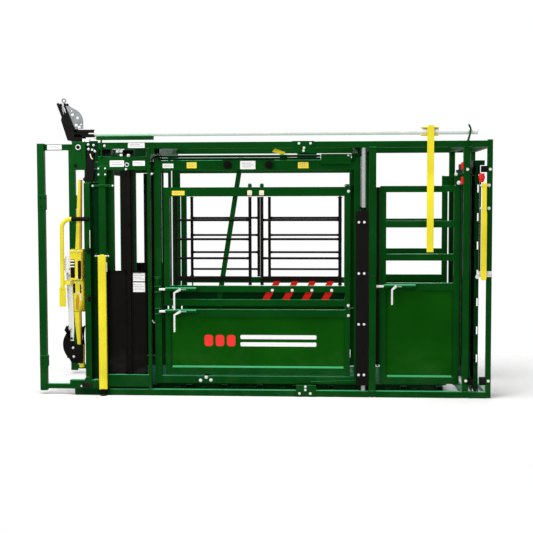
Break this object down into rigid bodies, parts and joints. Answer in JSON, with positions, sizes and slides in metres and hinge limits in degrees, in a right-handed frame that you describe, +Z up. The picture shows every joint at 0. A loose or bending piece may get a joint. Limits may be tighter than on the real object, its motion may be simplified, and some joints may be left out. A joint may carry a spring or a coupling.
{
  "type": "cattle squeeze chute",
  "caption": "Steel cattle squeeze chute with sliding head and tail gates, two squeeze sides, drop bar gates, palpation doors and a head holder.",
  "frame": {"origin": "on the ground, at the middle of the chute's length and width", "axes": "+X towards the tailgate, +Z up, and the operator's side with the levers faces -Y"},
  "size_m": [3.666, 1.2359, 2.419],
  "materials": {
    "green": "gloss green powder coat",
    "dark_green": "green powder coat in shade",
    "yellow": "gloss yellow powder coat",
    "red": "flexible red strap",
    "black": "black powder coat",
    "black_rubber": "black rubber sheet",
    "white": "white and bright zinc paint",
    "zinc": "galvanised steel"
  },
  "bodies": {
    "frame": {"base_rails": "green", "floor_tubes": "dark_green", "floor_plate": "dark_green", "top_rails": "green", "cross_tubes": "green", "frame_posts": "green", "post_caps": "green", "guard_frame": "green", "head_columns": "green", "side_wings": "dark_green", "door_tracks": "dark_green", "shoulder_beams": "green", "lever_plates": "green", "joint_plates": "green", "rubber_strips": "black_rubber", "side_rods": "zinc", "rear_brackets": "black", "hook_plates": "white", "pipe_support": "green", "frame_bolts": "white"},
    "head_door_near": {"head_door_near": "dark_green"},
    "head_door_far": {"head_door_far": "dark_green"},
    "control_lever": {"control_fork": "black", "quadrant_plate": "zinc", "control_pipe": "white"},
    "slide_handle": {"slide_handle": "yellow"},
    "squeeze_lever": {"squeeze_lever": "yellow"},
    "head_holder": {"holder_mast": "yellow", "pull_handle": "yellow", "holder_jaw": "black"},
    "winch_wheel": {"winch_wheel": "white"},
    "tail_door_near": {"tail_door_near": "dark_green"},
    "tail_door_far": {"tail_door_far": "dark_green"},
    "tail_handle_near": {"tail_handle_near": "yellow"},
    "neck_door_near": {"neck_door_near": "black"},
    "squeeze_side_near": {"squeeze_side_near": "green", "side_links_near": "green"},
    "upper_gate_near": {"upper_gate_near": "green", "red_straps_near": "red"},
    "lower_door_near": {"lower_door_near": "green"},
    "vet_door_near": {"vet_door_near": "green"},
    "drop_bars_near_front": {"drop_bars_near_front": "black"},
    "drop_bars_near_rear": {"drop_bars_near_rear": "black"},
    "upper_latch_near": {"upper_latch_near": "white"},
    "lower_latch_near": {"lower_latch_near": "white"},
    "vet_latch_near": {"vet_latch_near": "white"},
    "width_knobs_near": {"width_knobs_near": "black"},
    "neck_door_far": {"neck_door_far": "black"},
    "squeeze_side_far": {"squeeze_side_far": "green", "side_links_far": "green"},
    "upper_gate_far": {"upper_gate_far": "green", "red_straps_far": "red"},
    "lower_door_far": {"lower_door_far": "green"},
    "vet_door_far": {"vet_door_far": "green"},
    "drop_bars_far_front": {"drop_bars_far_front": "black"},
    "drop_bars_far_rear": {"drop_bars_far_rear": "black"},
    "upper_latch_far": {"upper_latch_far": "white"},
    "lower_latch_far": {"lower_latch_far": "white"},
    "vet_latch_far": {"vet_latch_far": "white"},
    "width_knobs_far": {"width_knobs_far": "black"}
  },
  "joints": [
    {"name": "head_doors", "type": "slide", "parent": "frame", "child": "head_door_near", "axis": [0, 1, 0], "range_m": [0, 0.32]},
    {"name": "head_door_far_slide", "type": "slide", "parent": "frame", "child": "head_door_far", "axis": [0, 1, 0], "range_m": [-0.32, 0]},
    {"name": "control_lever_lift", "type": "hinge", "parent": "frame", "child": "control_lever", "pos_m": [-1.475, -0.551, 2.018], "axis": [0, 1, 0], "range_deg": [-18, 0]},
    {"name": "handle_travel", "type": "slide", "parent": "control_lever", "child": "slide_handle", "axis": [1, 0, 0], "range_m": [-0.35, 0.12]},
    {"name": "squeeze", "type": "slide", "parent": "frame", "child": "squeeze_side_near", "axis": [0, 1, 0], "range_m": [0, 0.2]},
    {"name": "squeeze_far_slide", "type": "slide", "parent": "frame", "child": "squeeze_side_far", "axis": [0, 1, 0], "range_m": [-0.2, 0]},
    {"name": "squeeze_lever_swing", "type": "hinge", "parent": "frame", "child": "squeeze_lever", "pos_m": [-1.291, -0.598, 1.14], "axis": [1, 0, 0], "range_deg": [-95, 0]},
    {"name": "neck_door_near_swing", "type": "hinge", "parent": "frame", "child": "neck_door_near", "pos_m": [-1.079, -0.54, 1], "axis": [0, 0, 1], "range_deg": [0, 75]},
    {"name": "upper_gate_near_swing", "type": "hinge", "parent": "squeeze_side_near", "child": "upper_gate_near", "pos_m": [0.696, -0.5, 1.2], "axis": [0, 0, 1], "range_deg": [0, 90]},
    {"name": "lower_door_near_swing", "type": "hinge", "parent": "squeeze_side_near", "child": "lower_door_near", "pos_m": [0.696, -0.5, 0.43], "axis": [0, 0, 1], "range_deg": [0, 90]},
    {"name": "drop_bars_near_front_swing", "type": "hinge", "parent": "upper_gate_near", "child": "drop_bars_near_front", "pos_m": [-0.7, -0.5, 1.2], "axis": [0, 0, 1], "range_deg": [-90, 0]},
    {"name": "drop_bars_near_rear_swing", "type": "hinge", "parent": "upper_gate_near", "child": "drop_bars_near_rear", "pos_m": [0.635, -0.5, 1.2], "axis": [0, 0, -1], "range_deg": [-90, 0]},
    {"name": "vet_door_near_swing", "type": "hinge", "parent": "frame", "child": "vet_door_near", "pos_m": [1.568, -0.5, 0.9], "axis": [0, 0, 1], "range_deg": [-90, 0]},
    {"name": "upper_latch_near_pull", "type": "slide", "parent": "upper_gate_near", "child": "upper_latch_near", "axis": [1, 0, 0], "range_m": [0, 0.045], "stiffness_N_per_m": 300},
    {"name": "lower_latch_near_pull", "type": "slide", "parent": "lower_door_near", "child": "lower_latch_near", "axis": [1, 0, 0], "range_m": [0, 0.045], "stiffness_N_per_m": 300},
    {"name": "vet_latch_near_pull", "type": "slide", "parent": "vet_door_near", "child": "vet_latch_near", "axis": [1, 0, 0], "range_m": [0, 0.045], "stiffness_N_per_m": 300},
    {"name": "width_knobs_near_pull", "type": "slide", "parent": "squeeze_side_near", "child": "width_knobs_near", "axis": [0, -1, 0], "range_m": [0, 0.025], "stiffness_N_per_m": 300},
    {"name": "neck_door_far_swing", "type": "hinge", "parent": "frame", "child": "neck_door_far", "pos_m": [-1.079, 0.54, 1], "axis": [0, 0, 1], "range_deg": [-75, 0]},
    {"name": "upper_gate_far_swing", "type": "hinge", "parent": "squeeze_side_far", "child": "upper_gate_far", "pos_m": [0.696, 0.5, 1.2], "axis": [0, 0, 1], "range_deg": [-90, 0]},
    {"name": "lower_door_far_swing", "type": "hinge", "parent": "squeeze_side_far", "child": "lower_door_far", "pos_m": [0.696, 0.5, 0.43], "axis": [0, 0, 1], "range_deg": [-90, 0]},
    {"name": "drop_bars_far_front_swing", "type": "hinge", "parent": "upper_gate_far", "child": "drop_bars_far_front", "pos_m": [-0.7, 0.5, 1.2], "axis": [0, 0, 1], "range_deg": [0, 90]},
    {"name": "drop_bars_far_rear_swing", "type": "hinge", "parent": "upper_gate_far", "child": "drop_bars_far_rear", "pos_m": [0.635, 0.5, 1.2], "axis": [0, 0, -1], "range_deg": [0, 90]},
    {"name": "vet_door_far_swing", "type": "hinge", "parent": "frame", "child": "vet_door_far", "pos_m": [1.568, 0.5, 0.9], "axis": [0, 0, 1], "range_deg": [0, 90]},
    {"name": "upper_latch_far_pull", "type": "slide", "parent": "upper_gate_far", "child": "upper_latch_far", "axis": [1, 0, 0], "range_m": [0, 0.045], "stiffness_N_per_m": 300},
    {"name": "lower_latch_far_pull", "type": "slide", "parent": "lower_door_far", "child": "lower_latch_far", "axis": [1, 0, 0], "range_m": [0, 0.045], "stiffness_N_per_m": 300},
    {"name": "vet_latch_far_pull", "type": "slide", "parent": "vet_door_far", "child": "vet_latch_far", "axis": [1, 0, 0], "range_m": [0, 0.045], "stiffness_N_per_m": 300},
    {"name": "width_knobs_far_pull", "type": "slide", "parent": "squeeze_side_far", "child": "width_knobs_far", "axis": [0, 1, 0], "range_m": [0, 0.025], "stiffness_N_per_m": 300},
    {"name": "tail_doors", "type": "slide", "parent": "frame", "child": "tail_door_near", "axis": [0, 1, 0], "range_m": [0, 0.315]},
    {"name": "tail_door_far_slide", "type": "slide", "parent": "frame", "child": "tail_door_far", "axis": [0, 1, 0], "range_m": [-0.315, 0]},
    {"name": "tail_handle_swing", "type": "hinge", "parent": "frame", "child": "tail_handle_near", "pos_m": [1.77, -0.595, 1.7], "axis": [1, 0, 0], "range_deg": [-60, 0]},
    {"name": "head_holder_swing", "type": "hinge", "parent": "frame", "child": "head_holder", "pos_m": [-1.48, -0.528, 1], "axis": [0, 0, 1], "range_deg": [-95, 0]},
    {"name": "winch_turn", "type": "hinge", "parent": "head_holder", "child": "winch_wheel", "pos_m": [-1.542, -0.57, 1.072], "axis": [0, 1, 0], "continuous": true}
  ],
  "couplings": [
    {"joint": "head_door_far_slide", "follows": "head_doors", "ratio": -1},
    {"joint": "control_lever_lift", "follows": "head_doors", "rad_per_m": -0.9816},
    {"joint": "squeeze_far_slide", "follows": "squeeze", "ratio": -1},
    {"joint": "squeeze_lever_swing", "follows": "squeeze", "rad_per_m": -8.29},
    {"joint": "tail_door_far_slide", "follows": "tail_doors", "ratio": -1},
    {"joint": "tail_handle_swing", "follows": "tail_doors", "rad_per_m": -3.3241}
  ]
}
